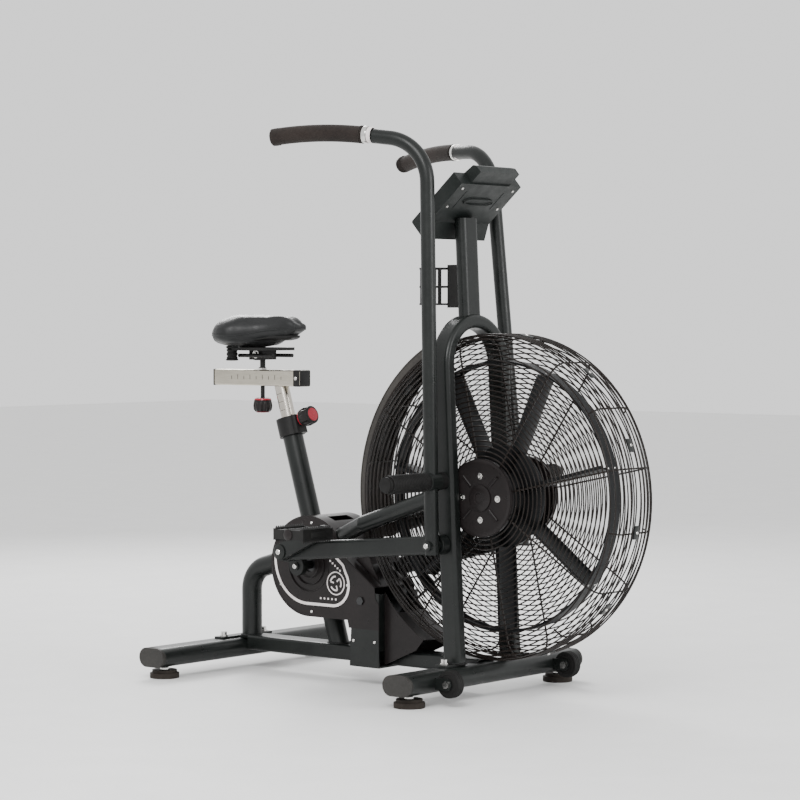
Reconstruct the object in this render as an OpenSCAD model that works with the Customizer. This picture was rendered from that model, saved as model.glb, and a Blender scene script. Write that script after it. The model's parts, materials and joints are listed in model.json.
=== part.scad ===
// Air bike: a fan bike with moving handlebars, pedals, a guarded fan wheel and an adjustable saddle.
// Millimetres, +Z up, +X towards the fan, +Y to the rider's left, origin under the middle of the bike.

/* [Base] */
// X of the front stabilizer's centre line
front_x = 205; // [200:1:210]
// X of the rear stabilizer's centre line
rear_x = -534; // [-540:1:-530]
// Height of both stabilizers' centre lines
stabilizer_z = 50; // [49:0.5:51]
// Width of a stabilizer's flat-oval section
stabilizer_w = 78; // [76:1:80]
// Height of a stabilizer's flat-oval section
stabilizer_h = 45; // [44:1:46]
// Half the length of a stabilizer, end caps included
stabilizer_half = 313; // [305:1:320]
// Distance of each levelling foot from the middle
foot_y = 269; // [262:1:274]
// Radius of a levelling foot's pad
foot_r = 34; // [30:1:36]

/* [Fan] */
// X of the fan's axle
fan_x = 254; // [252:1:256]
// Height of the fan's axle
fan_z = 443; // [441:1:445]
// Outer radius of the wire cage
cage_r = 360; // [358:1:361]
// Distance of the cage's flat faces from the middle
cage_face = 76; // [75:0.5:76]
// Outer radius of the fan wheel
wheel_r = 300; // [290:1:310]
// Number of paddles on the fan wheel
paddles = 7; // [5:1:9]
// Width of a paddle along the axle
paddle_w = 62; // [50:1:64]

/* [Frame] */
// Lean of the hoop and mast, back from vertical, in degrees
hoop_lean = 2.9; // [2.5:0.1:3.2]
// Distance of each hoop leg's centre from the middle
hoop_y = 100; // [99:0.5:101]
// Lean of the seat tube, back from vertical, in degrees
seat_lean = 16.8; // [16:0.1:17.5]
// Outer radius of the seat tube
seat_tube_r = 24; // [23.5:0.5:24]
// Outer radius of the side stays
stay_r = 19; // [18:0.5:19]

/* [Drive] */
// X of the crank axle
crank_x = -262; // [-264:1:-260]
// Height of the crank axle
crank_z = 265; // [263:1:267]
// Distance from the crank axle to the link pin
link_throw = 37; // [34:1:38]
// Angle of the right link pin above straight ahead, in degrees
link_angle = 109; // [100:1:115]
// Distance from the crank axle to the pedal axle
pedal_throw = 142; // [136:1:146]
// Angle of the right pedal axle above straight ahead, in degrees
pedal_angle = 38; // [34:1:42]
// Length of a link, pin to pin
link_len = 450; // [448:0.5:451]
// X of the jackshaft
jack_x = -102; // [-104:1:-100]
// Height of the jackshaft
jack_z = 192; // [190:1:194]

/* [Levers] */
// X of the levers' pivot
pivot_x = 172; // [171:0.5:173]
// Height of the levers' pivot
pivot_z = 479; // [476:1:482]
// Distance from a lever's pivot to its lower pin
lever_arm = 140; // [138:1:142]
// Distance of each lever's centre from the middle
lever_y = 155; // [154:0.5:156]
// Outer radius of a lever's tube
lever_r = 16; // [15:0.5:16]
// Straight length of a lever above its pivot
lever_rise = 655; // [640:1:670]
// Turn outwards of each handgrip, in degrees
grip_flare = 18; // [14:1:22]
// Radius of a handgrip's foam
grip_r = 19; // [18:0.5:20]

/* [Seat] */
// Radius of the sliding seat post
post_r = 17; // [16:0.5:17]
// Rear end of the seat rail
rail_rear = -614; // [-618:1:-610]
// Front end of the seat rail's cap
rail_front = -335; // [-340:1:-330]
// Height of the seat rail's centre
rail_z = 695; // [690:1:700]
// Side of the seat rail's square section
rail_side = 38; // [38:1:40]

/* [Hidden] */
$fn = 64;
steel = "#26282a";
plastic = "#1b1c1d";
chrome = "#c9c9c4";
rubber = "#151515";
red = "#a51d2a";
tube_wall = 3;
weld_gap = 0.1;
running = 0.05;

// Unit lean of the seat tube and the point where its axis meets the base
seat_foot = [-229, 80];
seat_up = [-sin(seat_lean), cos(seat_lean)];
seat_tube_len = 520;
collar_from = 500;
collar_h = 44;
post_top = (rail_z - rail_side / 2 - seat_foot[1]) / seat_up[1];
post_len = 300;
knob_along = seat_tube_len + 12;
knob_out = 40;
function seat_x(z) = seat_foot[0] - (z - seat_foot[1]) * tan(seat_lean);

// Stations outwards from the middle, along Y
leg_half = 15;
leg_out = hoop_y + leg_half;
crank_in = 98;
crank_plate = 15;
link_in = leg_out + 2;
link_w = 20;
link_out = link_in + link_w;
arm_in = link_out + 4;
arm_w = 15;
pedal_in = 164;
pedal_w = 100;
peg_in = 175;
peg_end = 310;
cover_out = 70;
wall = 3;

crank_c = [crank_x, crank_z];
jack_c = [jack_x, jack_z];
fan_c = [fan_x, fan_z];
pivot_c = [pivot_x, pivot_z];
right_pin = crank_c + link_throw * [cos(link_angle), sin(link_angle)];
left_pin = 2 * crank_c - right_pin;
pedal_c = crank_c + pedal_throw * [cos(pedal_angle), sin(pedal_angle)];

// Backward lean of a lever whose link runs from pin, in degrees: the closed form of the four-bar
function lever_lean(pin) =
    let (d = pin - pivot_c, k = (d * d + lever_arm * lever_arm - link_len * link_len) / (2 * lever_arm))
    180 - asin(k / norm(d)) + atan2(d[1], d[0]);
function lever_pin(lean) = pivot_c + lever_arm * [sin(lean), -cos(lean)];
right_lean = lever_lean(right_pin);
left_lean = lever_lean(left_pin);
sleeve_r = 22;
shaft_r = 12;
pin_r = 11;
bend_r = 100;
grip_bend = 82;
grip_gap = 62;
grip_curve_r = 900;
grip_curve = 14;

crank_pulley_r = 78;
small_pulley_r = 22;
large_pulley_r = 43;
fan_pulley_r = 24;
belt_t = 3;
belt_gap = 0.3;
first_belt_y = [-61, -51];
second_belt_y = [34, 44];
bearing_r = 14;
jack_r = 6;
axle_r = 8;
spindle_r = 10;
shell_half = 30;

hoop_z = 730;
hoop_foot_x = front_x - 10;
hoop_foot_z = 90;
rim_y = 52;
rim_wire = 3;
fender_r = cage_r + 1.5;
hub_r = 86;

console_angle = 41.3;
console_low = [77, 1050];
console_len = 160;
console_half = 107;
console_under = -34;
button_y = [-36, 0, 36];
button_r = 8;

wheel_x = 274;
wheel_y = 213;
tw_r = 29;
tw_half = 10;
bolt_r = 4;

// ---- helpers -------------------------------------------------------------------------------

// Mirrors a right-hand piece to the left-hand side
module on_left() { mirror([0, 1, 0]) children(); }

// Cylinder along Y from y0 to y1, at centre c in X and Z
module rod(c, y0, y1, r) {
    translate([c[0], y0, c[1]]) rotate([-90, 0, 0]) cylinder(h = y1 - y0, r = r);
}

// Extrudes an outline, drawn in X and Z, along Y from y0 to y1
module slab(y0, y1) { translate([0, y1, 0]) rotate([90, 0, 0]) linear_extrude(y1 - y0) children(); }

// Rectangle with two semicircular ends
module stadium(w, h) {
    across = min(w, h);
    wide = w > h ? [(w - h) / 2, 0] : [0, (h - w) / 2];
    square(w > h ? [w - h, h] : [w, h - w], center = true);
    for (s = [-1, 1]) translate(s * wide) circle(d = across);
}

// Rectangle with rounded corners
module rounded(w, h, r) {
    square([w - 2 * r, h], center = true);
    square([w, h - 2 * r], center = true);
    for (x = [-1, 1], y = [-1, 1]) translate([x * (w / 2 - r), y * (h / 2 - r)]) circle(r = r);
}

// Circles a and b joined by their outer tangents: a pulley belt's outline
module tangent_pair(a, ra, b, rb) {
    d = b - a;
    base = atan2(d[1], d[0]);
    spread = acos((ra - rb) / norm(d));
    function at(c, r, s) = c + r * [cos(base + s * spread), sin(base + s * spread)];
    polygon([at(a, ra, 1), at(b, rb, 1), at(b, rb, -1), at(a, ra, -1)]);
    translate(a) circle(r = ra);
    translate(b) circle(r = rb);
}

// Outline of a crank arm: two round ends and a web a little narrower than they are
module arm(a, ra, b, rb) {
    d = b - a;
    side = 0.94 * [-d[1], d[0]] / norm(d);
    polygon([a + ra * side, b + rb * side, b - rb * side, a - ra * side]);
    translate(a) circle(r = ra);
    translate(b) circle(r = rb);
}

// Runs a section along straight and bent steps: [length, 0] goes on, [radius, angle] turns to -X
module run(steps, i = 0) {
    if (i < len(steps)) {
        s = steps[i];
        if (s[1] == 0) {
            linear_extrude(s[0]) children();
            translate([0, 0, s[0]]) run(steps, i + 1) children();
        } else {
            translate([-s[0], 0, 0]) rotate([90, 0, 0])
                rotate_extrude(angle = s[1], $fn = s[0] > 200 ? 720 : 96) translate([s[0], 0]) children();
            translate([-s[0], 0, 0]) rotate([0, -s[1], 0]) translate([s[0], 0, 0])
                run(steps, i + 1) children();
        }
    }
}

module ring(r_out, r_in) {
    difference() {
        circle(r = r_out, $fn = 64);
        circle(r = r_in, $fn = 64);
    }
}

// Moves a piece drawn along +Z onto the seat tube's axis, starting `along` from its foot
module on_seat_tube(along = 0) {
    translate([seat_foot[0] + along * seat_up[0], 0, seat_foot[1] + along * seat_up[1]])
        rotate([0, -seat_lean, 0]) children();
}

// Moves a piece drawn with Z = 0 at the hoop's foot onto the leaning hoop
module on_hoop() { translate([hoop_foot_x, 0, hoop_foot_z]) rotate([0, -hoop_lean, 0]) children(); }

// Solid outside of a stabilizer, used to cope the tubes that are welded to it
module stabilizer_outside(x, grow = 0) {
    slab(-stabilizer_half, stabilizer_half) translate([x, stabilizer_z])
        stadium(stabilizer_w + 2 * grow, stabilizer_h + 2 * grow);
}

// ---- base ----------------------------------------------------------------------------------

module stabilizer(x) {
    end = stabilizer_half - 8;
    difference() {
        slab(-end, end) translate([x, stabilizer_z]) difference() {
            stadium(stabilizer_w, stabilizer_h);
            stadium(stabilizer_w - 2 * tube_wall, stabilizer_h - 2 * tube_wall);
        }
        for (s = [-1, 1]) translate([x, s * foot_y, 0]) cylinder(h = stabilizer_z, r = 5 + running);
    }
}

module wheel_bracket() {
    for (y = [wheel_y - tw_half - 5, wheel_y + tw_half + 1]) difference() {
        slab(y, y + 4) {
            translate([wheel_x, stabilizer_z]) circle(r = 13);
            translate([front_x + 37.5, stabilizer_z - 13]) square([wheel_x - front_x - 37.5, 26]);
        }
        rod([wheel_x, stabilizer_z], y - 1, y + 5, bolt_r + weld_gap);
    }
}

module front_stabilizer() {
    color(steel) {
        stabilizer(front_x);
        wheel_bracket();
        on_left() wheel_bracket();
    }
}

module rear_stabilizer() { color(steel) stabilizer(rear_x); }

module stabilizer_caps() {
    color("#4a4643") for (x = [front_x, rear_x], s = [-1, 1]) {
        slab(s > 0 ? stabilizer_half - 8 : -stabilizer_half, s > 0 ? stabilizer_half : 8 - stabilizer_half)
            translate([x, stabilizer_z]) stadium(stabilizer_w, stabilizer_h);
    }
}

module base_tube() {
    color(steel) difference() {
        translate([base_start, 0, 62.5]) rotate([90, 0, 90])
            linear_extrude(front_x - base_start) difference() {
                rounded(60, 35, 6);
                rounded(54, 29, 4);
            }
        stabilizer_outside(front_x, weld_gap);
        stabilizer_outside(rear_x, weld_gap);
    }
}

base_start = rear_x + 41;
upright_x = -506;
upright_foot = 77.7;
upright_bend_z = 187;
upright_bend = 74;
module upright_line(r_out, r_in) {
    translate([upright_x, 0, upright_foot]) rotate([0, 0, 180])
        run([[upright_bend_z - upright_foot, 0], [60, upright_bend], [165, 0]]) ring(r_out, r_in);
}

module rear_upright() {
    color(steel) {
        difference() {
            upright_line(24, 24 - tube_wall);
            on_seat_tube(0) cylinder(h = seat_tube_len, r = seat_tube_r + weld_gap);
            translate([base_start - weld_gap, -31, 40]) cube([200, 62, 40 + weld_gap]);
        }
        translate([rear_x - 14, -86, 72.6]) cube([28, 172, 5]);
        translate([rear_x - 14, -28, 72.6]) cube([54, 56, 5]);
    }
}

// ---- seat tube and hoop --------------------------------------------------------------------

module seat_tube() {
    color(steel) difference() {
        union() {
            on_seat_tube(-12) cylinder(h = seat_tube_len + 12, r = seat_tube_r);
            slab(-32, 32) polygon([[seat_x(300), 300], [-214, 306], [-214, 342], [seat_x(368), 372]]);
        }
        on_seat_tube(225) cylinder(h = seat_tube_len, r = seat_tube_r - tube_wall - 0.5);
        on_seat_tube(-20) cylinder(h = 180, r = seat_tube_r - tube_wall);
        translate([-400, -50, 0]) cube([400, 100, 80.2]);
        rod(crank_c, -50, 50, 23 + weld_gap);
    }
}

module collar_section(inner) {
    difference() {
        union() {
            circle(r = 31);
            translate([16, 0]) rounded(38, 40, 8);
        }
        circle(r = inner);
    }
}

module seat_collar() {
    lip = collar_from + collar_h - seat_tube_len - weld_gap;
    color(plastic) {
        on_seat_tube(collar_from) linear_extrude(collar_h - lip) collar_section(seat_tube_r + weld_gap);
        difference() {
            on_seat_tube(collar_from + collar_h - lip) linear_extrude(lip)
                collar_section(post_r + running);
            on_seat_tube(knob_along) translate([post_r, 0, 0]) rotate([0, 90, 0])
                cylinder(h = 30, r = 5 + running);
        }
    }
}

module right_hoop_leg() {
    straight = hoop_z - hoop_foot_z;
    color(steel) {
        difference() {
            on_hoop() translate([0, -hoop_y, -20]) linear_extrude(straight + 20) difference() {
                rounded(48, 2 * leg_half, 10);
                rounded(42, 2 * leg_half - 6, 7);
            }
            translate([0, -200, 0]) cube([400, 400, 78.2]);
        }
        on_hoop() translate([0, 0, straight]) rotate([90, 0, -90]) rotate_extrude(angle = 90)
            translate([hoop_y, 0]) difference() {
                rounded(2 * leg_half, 48, 10);
                rounded(2 * leg_half - 6, 42, 7);
            }
        translate([front_x - 24, -152, 72.6]) cube([30, 70, 5.5]);
    }
}

module left_hoop_leg() { on_left() right_hoop_leg(); }

module mast() {
    base = hoop_z - hoop_foot_z;
    color(steel) difference() {
        on_hoop() translate([0, 0, base]) linear_extrude(330) stadium(30, 60);
        on_hoop() translate([40, 0, base]) rotate([0, -90, 0])
            cylinder(h = 80, r = hoop_y + leg_half + weld_gap);
        on_console() translate([-100, -200, console_under - weld_gap]) cube([400, 400, 400]);
    }
}

// Side stay: from the crank housing's top out to the cage's side and up to the leg
stay_a = [-212, -30, 324];
stay_b = [-68, -97.4, 372];
stay_c = [151, -97.4, 446];
module stay_run(a, b, r) {
    d = b - a;
    translate(a) rotate([0, acos(d[2] / norm(d)), atan2(d[1], d[0])]) cylinder(h = norm(d), r = r);
}

module right_stay() {
    color(steel) difference() {
        union() {
            stay_run(stay_a, stay_b, stay_r);
            stay_run(stay_b, stay_c, stay_r);
            translate(stay_b) sphere(r = stay_r + 0.3);
        }
        on_hoop() translate([-24.2, -140, 0]) cube([60, 80, 700]);
        translate([-300, -120, 250]) cube([300 - 213.8, 240, 200]);
        rod(crank_c, first_belt_y[0] - 2, first_belt_y[1] + 2, crank_pulley_r + belt_t + 2);
    }
}

module left_stay() { on_left() right_stay(); }

// ---- drive ---------------------------------------------------------------------------------

module bottom_bracket_shell() {
    color(steel) difference() {
        rod(crank_c, -shell_half, shell_half, 23);
        rod(crank_c, -40, 40, 15 + weld_gap);
    }
}

module shaft_bearings() {
    color(chrome) for (s = [-1, 1]) {
        difference() {
            rod(crank_c, s > 0 ? 18 : -30, s > 0 ? 30 : -18, 15);
            rod(crank_c, -40, 40, spindle_r + running);
        }
        difference() {
            rod(jack_c, s > 0 ? 62.5 : -69.5, s > 0 ? 69.5 : -62.5, bearing_r);
            rod(jack_c, -80, 80, jack_r + running);
        }
    }
}

module drive_bracket() {
    left = -136;
    right = -49;
    color(steel) difference() {
        slab(-70, 70) polygon([[left, 41], [right, 41], [right, 211], [left + 8, 211]]);
        slab(-66, 66) translate([left - 1, 44.8]) square([right - left + 2, 200]);
        rod(jack_c, -90, 90, bearing_r + weld_gap);
    }
}

module cover_outline() {
    translate([-262, 262]) circle(r = 117);
    polygon([[-262, 145], [-150, 145], [-129, 212], [-75, 212], [-60, 225], [-147, 287], [-262, 262]]);
}

module cover_inside() {
    translate([-262, 262]) circle(r = 117 - wall);
    polygon([[-262, 148], [-152.2, 148], [-131, 209], [-75, 209], [-56, 213], [-62, 222.7],
        [-148, 283.6], [-262, 262]]);
}

module right_crank_cover() {
    color(plastic) difference() {
        union() {
            difference() {
                slab(-cover_out, -0.15) cover_outline();
                slab(-cover_out + wall, 0) cover_inside();
            }
            rod(crank_c, -cover_out + 1, -cover_out + 6, 66);
        }
        rod(crank_c, -cover_out - 1, -cover_out + 2.5, 60);
        rod(crank_c, -cover_out - 1, -cover_out + 4, 44);
        rod(crank_c, -cover_out - 1, 0, 17);
        upright_line(25, 0);
        on_seat_tube(-12) cylinder(h = 500, r = seat_tube_r + 1);
        stay_run(stay_a - 0.2 * (stay_b - stay_a), stay_b, stay_r + 2);
        slab(-34, 34) translate([-330, 296]) square([118, 80]);
        slab(-66.3, 1) translate([-152, 140]) square([80, 76]);
    }
}

module left_crank_cover() {
    difference() {
        on_left() right_crank_cover();
        color(plastic) slab(second_belt_y[0] - 2, second_belt_y[1] + 2)
            translate([-112, 200]) square([82, 90]);
    }
}

module drive_guard() {
    color(rubber) difference() {
        slab(-50, 50) difference() {
            polygon([[-48.5, 48], [44, 88], [92, 145], [92, 240], [-40, 303], [-84, 303], [-134, 283],
                [-58, 228], [-48.5, 214]]);
            translate(fan_c) circle(r = cage_r + 20);
        }
        slab(-47, 47) difference() {
            polygon([[-60, 40], [44, 80], [97, 142], [97, 240], [-40, 299], [-84, 299], [-150, 279.5],
                [-150, 210]]);
            translate(fan_c) circle(r = cage_r + 23);
        }
        slab(-47, 47) translate([-150, 150]) square([140, 125]);
        translate([rear_x, -30.2, 40]) cube([700, 60.4, 40.2]);
    }
}

// A belt is 0.3 mm clear of both of its pulleys
module belt(y, a, ra, b, rb) {
    slab(y[0], y[1]) difference() {
        tangent_pair(a, ra + belt_gap + belt_t, b, rb + belt_gap + belt_t);
        tangent_pair(a, ra + belt_gap, b, rb + belt_gap);
    }
}

module drive_belts() {
    color(rubber) {
        belt(first_belt_y, crank_c, crank_pulley_r, jack_c, small_pulley_r);
        belt(second_belt_y, jack_c, large_pulley_r, fan_c, fan_pulley_r);
    }
}

module jackshaft() {
    color(chrome) {
        rod(jack_c, -73, 73, jack_r);
        rod(jack_c, first_belt_y[0] - 0.5, first_belt_y[1] + 0.5, small_pulley_r);
        rod(jack_c, second_belt_y[0] - 1, second_belt_y[1] + 1, large_pulley_r);
        for (y = [-75, 71])
            translate([jack_x, y, jack_z]) rotate([-90, 0, 0]) cylinder(h = 4, r = 10, $fn = 6);
    }
}

module crank_spindle() {
    color(chrome) {
        rod(crank_c, -crank_in, crank_in, spindle_r);
        difference() {
            rod(crank_c, first_belt_y[0] - 1, first_belt_y[1] + 1, crank_pulley_r);
            for (a = [0 : 72 : 288])
                rod(crank_c + 48 * [cos(a), sin(a)], -80, -40, 15);
        }
    }
}

// Right crank: an inner arm on the spindle, the link's pin, and an outer arm out to the pedal axle
module right_crank() {
    color(steel) {
        slab(-crank_in - crank_plate, -crank_in) arm(crank_c, 22, right_pin, 19);
        rod(right_pin, -arm_in - 7, -crank_in - 7, pin_r);
        slab(-arm_in - arm_w, -arm_in) arm(right_pin, 20, pedal_c, 15);
    }
    color(chrome) rod(pedal_c, -pedal_in - pedal_w - 2, -arm_in - 7, 7);
    color(chrome) rod(crank_c, -crank_in - crank_plate - 3, -crank_in - 7, 9);
}

module half_turn() {
    translate([crank_x, 0, crank_z]) rotate([0, 180, 0]) translate([-crank_x, 0, -crank_z]) children();
}

module left_crank() { half_turn() on_left() right_crank(); }

module link(pin, lean) {
    far = lever_pin(lean);
    d = far - pin;
    difference() {
        union() {
            rod(pin, -link_out, -link_in, 24);
            rod(far, -link_out, -link_in, 22);
            translate([pin[0], -(link_in + link_out) / 2, pin[1]]) rotate([0, 90 - atan2(d[1], d[0]), 0])
                linear_extrude(norm(d)) rounded(42, link_w - 0.4, 7);
        }
        rod(pin, -link_out - 1, -link_in + 1, pin_r + running);
    }
}

module right_link() { color(steel) link(right_pin, right_lean); }
module left_link() { color(steel) on_left() link(left_pin, left_lean); }

module right_pedal() {
    c = pedal_c;
    half = 45;
    color(plastic) difference() {
        union() {
            rod(c, -pedal_in - pedal_w, -pedal_in, 13);
            for (y = [pedal_in, pedal_in + pedal_w - 10])
                translate([c[0] - half, -y - 10, c[1] - 11]) cube([2 * half, 10, 22]);
            for (x = [-half, half - 9])
                translate([c[0] + x, -pedal_in - pedal_w, c[1] - 13]) cube([9, pedal_w, 26]);
        }
        rod(c, -pedal_in - pedal_w - 1, -pedal_in + 1, 7 + running);
    }
}

module left_pedal() { half_turn() on_left() right_pedal(); }

// ---- levers --------------------------------------------------------------------------------

// Places a lever, drawn upright about its pivot, with its backward lean
module at_pivot(lean) { translate([pivot_x, -lever_y, pivot_z]) rotate([0, -lean, 0]) children(); }

module lever_line(from, section_r) {
    translate([0, 0, from]) rotate([0, 0, grip_flare])
        run([[lever_rise - from, 0], [bend_r, grip_bend], [grip_gap, 0], [grip_curve_r, grip_curve]])
            circle(r = section_r, $fn = 64);
}

module lever(lean) {
    color(steel) difference() {
        at_pivot(lean) {
            difference() {
                lever_line(-lever_arm - 20, lever_r);
                lever_line(sleeve_r + 4, lever_r - tube_wall);
            }
            rod([0, 0], -lever_r - 0.8, lever_r + 0.8, sleeve_r);
            rod([0, -lever_arm], -lever_r - 0.8, lever_r + 0.8, 13);
        }
        at_pivot(lean) rod([0, 0], -30, 30, shaft_r + running);
    }
}

module grip(lean) {
    color("#3a3431") at_pivot(lean) translate([0, 0, lever_rise]) rotate([0, 0, grip_flare])
        translate([-bend_r, 0, 0]) rotate([0, -grip_bend, 0]) translate([bend_r, 0, grip_gap])
            run([[grip_curve_r, grip_curve]]) ring(grip_r, lever_r + weld_gap);
}

module right_lever() { lever(right_lean); }
module left_lever() { on_left() lever(left_lean); }
module right_grip() { grip(right_lean); }
module left_grip() { on_left() grip(left_lean); }

module right_foot_peg() {
    color(plastic) {
        rod(pivot_c, -peg_in, -leg_out - weld_gap, shaft_r);
        rod(pivot_c, -lever_y + lever_r + 1.5, -leg_out - weld_gap, 19);
        rod(pivot_c, -peg_end + 8, -peg_in, 19.5);
        rod(pivot_c, -peg_end, -peg_end + 8, 17);
    }
}

module left_foot_peg() { on_left() right_foot_peg(); }

// ---- fan -----------------------------------------------------------------------------------

// Moves a piece drawn about +Z to the fan's axle, with its Z along -Y
module on_fan(turn = 0) { translate([fan_x, 0, fan_z]) rotate([0, -turn, 0]) rotate([90, 0, 0]) children(); }

module cage_ring(r, y) {
    on_fan() translate([0, 0, y]) rotate_extrude() translate([r - rim_wire, -rim_wire / 2]) square(rim_wire);
}

knee_r = 312;

module right_cage() {
    color(rubber) {
        for (r = [90 : 36 : 306]) cage_ring(r, cage_face - rim_wire / 2);
        for (a = [20 : 30 : 350]) on_fan(a)
            translate([80, -rim_wire / 2, cage_face - rim_wire]) cube([knee_r - 80.6, rim_wire, rim_wire]);
    }
}

module left_cage() { on_left() right_cage(); }

// Both halves' rims, from the knee of each spoke to the middle
module half_rim() {
    cage_ring(340, 61);
    for (y = [rim_y, rim_y / 2, 2]) cage_ring(cage_r, y);
    for (a = [20 : 30 : 350]) on_fan(a)
        translate([0, rim_wire / 2, 0]) rotate([90, 0, 0]) linear_extrude(rim_wire) polygon([
            [knee_r - 0.5, cage_face], [knee_r - 0.5, cage_face - rim_wire],
            [cage_r - rim_wire, rim_y - rim_wire], [cage_r - rim_wire, 0.5],
            [cage_r, 0.5], [cage_r, rim_y]]);
}

module cage_rim() {
    color(rubber) {
        half_rim();
        on_left() half_rim();
    }
}

module rear_fender() {
    color("#4b4845") on_fan(113) rotate_extrude(angle = 84) {
        translate([fender_r, -45]) square([17, 2.5]);
        translate([fender_r, 42.5]) square([17, 2.5]);
        translate([fender_r + 14.5, -45]) square([2.5, 90]);
    }
}

module right_hub_plate() {
    color(plastic) difference() {
        rod(fan_c, -84.9, -cage_face - 0.1, hub_r);
        rod(fan_c, -86, -84, hub_r - 8);
        rod(fan_c, -90, 0, axle_r + weld_gap);
    }
    color(plastic) difference() {
        rod(fan_c, -84.9, -cage_face - 0.1, 34);
        rod(fan_c, -84, 0, axle_r + weld_gap);
    }
}

module left_hub_plate() { on_left() right_hub_plate(); }

module fan_axle() { color(chrome) rod(fan_c, -83.5, 83.5, axle_r); }

module fan_wheel() {
    disc_r = 112;
    first = 65.5;
    color("#202224") difference() {
        union() {
            rod(fan_c, -33, 33, 42);
            rod(fan_c, -2, 2, disc_r);
            rod(fan_c, 30, second_belt_y[1] + 1, fan_pulley_r);
            on_fan() rotate_extrude() translate([wheel_r - 4, -19]) square([4, 38]);
            for (i = [0 : paddles - 1]) on_fan(first + i * 360 / paddles)
                translate([38, -1.5, -paddle_w / 2]) cube([wheel_r - 40, 3, paddle_w]);
        }
        rod(fan_c, -60, 60, axle_r + running);
    }
}

// ---- console -------------------------------------------------------------------------------

// Moves a piece drawn with X up the console's face and Z out of it to its place
module on_console() {
    translate([console_low[0], 0, console_low[1]]) rotate([0, -console_angle, 0]) children();
}

module console_housing() {
    color(plastic) difference() {
        on_console() {
            translate([0, console_half, 0]) rotate([90, 0, 0]) linear_extrude(2 * console_half)
                polygon([[0, -3], [3, 0], [console_len, 0], [console_len, console_under],
                    [38, console_under], [4, -54], [0, -50]]);
            translate([console_len - 1, 70, -30]) rotate([90, 0, 0]) linear_extrude(140)
                polygon([[0, 0], [0, 30], [30, 26], [36, 18], [36, 0]]);
        }
        on_console() {
            translate([56, -82, -4]) cube([82, 164, 10]);
            for (y = button_y) translate([26, y, -7]) cylinder(h = 20, r = button_r + 0.3);
        }
    }
}

module console_screen() {
    color("#0a0c0e") on_console() translate([56.2, -81.8, -3.8]) cube([81.6, 163.6, 2.4]);
}

module button(y) { color("#55585a") on_console() translate([26, y, -3.5]) cylinder(h = 5, r = button_r); }
module mode_button() { button(button_y[0]); }
module start_button() { button(button_y[1]); }
module stop_button() { button(button_y[2]); }

bottle = [64, 905];
bottle_r = 38;
module bottle_holder() {
    low = 866;
    top = 950;
    color(rubber) {
        for (z = [low, bottle[1], top - 4]) translate([bottle[0], 0, z]) linear_extrude(4)
            ring(bottle_r + 2, z > low ? bottle_r - 2 : bottle_r - 14);
        for (a = [60 : 60 : 300]) rotate_about(bottle[0], a)
            translate([bottle_r - 1.5, -4, low]) cube([3, 8, top - low]);
        for (a = [0, 90]) translate([bottle[0], 0, low]) rotate([0, 0, a])
            translate([-bottle_r + 6, -4, 0]) cube([2 * bottle_r - 12, 8, 4]);
    }
    color(plastic) difference() {
        translate([bottle[0] + bottle_r - 1, -9, low - 6]) cube([60, 18, 96]);
        on_hoop() translate([-15.1, -40, 500]) cube([80, 80, 600]);
    }
}

module rotate_about(x, a) { translate([x, 0, 0]) rotate([0, 0, a]) children(); }

// ---- seat ----------------------------------------------------------------------------------

module seat_post() {
    color(chrome) on_seat_tube(post_top - post_len) difference() {
        cylinder(h = post_len + 12, r = post_r);
        translate([0, 0, -1]) cylinder(h = post_len - 4, r = post_r - tube_wall);
        translate([0, 0, post_len]) rotate([0, seat_lean, 0])
            translate([-60, -60, -weld_gap]) cube([120, 120, 60]);
        for (i = [0 : 5]) translate([0, 0, 40 + 30 * i]) rotate([0, 90, 0]) cylinder(h = 40, r = 4.1);
    }
}

slot_half = 62;
carriage_x = -470;
module seat_rail() {
    rear = rail_rear + 4;
    front = rail_front - 22;
    color(chrome) difference() {
        translate([rear, 0, rail_z]) rotate([90, 0, 90]) linear_extrude(front - rear) difference() {
            rounded(rail_side, rail_side, 4);
            rounded(rail_side - 5, rail_side - 5, 2);
        }
        translate([carriage_x - slot_half, -7, rail_z - 40]) cube([2 * slot_half, 14, 80]);
    }
    color(plastic) for (x = [rail_rear, front])
        translate([x, 0, rail_z]) rotate([90, 0, 90])
            linear_extrude(x < front ? 4 : 22) rounded(rail_side, rail_side, 4);
}

saddle_x = -460;
module saddle_carriage() {
    block = rail_side - 7;
    color(chrome) difference() {
        union() {
            translate([carriage_x - 14, -block / 2, rail_z - block / 2]) cube([28, block, block]);
            translate([carriage_x, 0, rail_z]) cylinder(h = 62, r = 6.5);
        }
        translate([carriage_x, 0, rail_z - 60]) cylinder(h = 70, r = 5 + running);
    }
    color(plastic) {
        difference() {
            translate([carriage_x - 22, -24, 738]) cube([44, 48, 26]);
            translate([carriage_x, 0, 700]) cylinder(h = 57, r = 6.5);
        }
        for (y = [-34, 34]) translate([saddle_x - 55, y, 748]) rotate([0, 90, 0]) cylinder(h = 110, r = 4.5);
        for (y = [-34, 12]) translate([carriage_x - 12, y, 744]) cube([24, 22, 8]);
        translate([saddle_x - 70, -58, 760]) cube([110, 116, 7]);
    }
}

module saddle() {
    rear = saddle_x - 76;
    color("#17191a") hull() {
        for (s = [-1, 1]) translate([rear, s * 78, 806]) sphere(r = 38, $fn = 32);
        for (s = [-1, 1]) translate([saddle_x + 20, s * 42, 806]) sphere(r = 30, $fn = 32);
        translate([-366, 0, 808]) sphere(r = 27, $fn = 32);
    }
}

module height_knob() {
    color(red) on_seat_tube(knob_along) rotate([0, 90, 0]) {
        translate([0, 0, post_r + 1]) cylinder(h = knob_out, r = 5);
        translate([0, 0, knob_out]) cylinder(h = 6, r = 16);
        translate([0, 0, knob_out + 6]) cylinder(h = 28, r = 21);
    }
}

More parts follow.
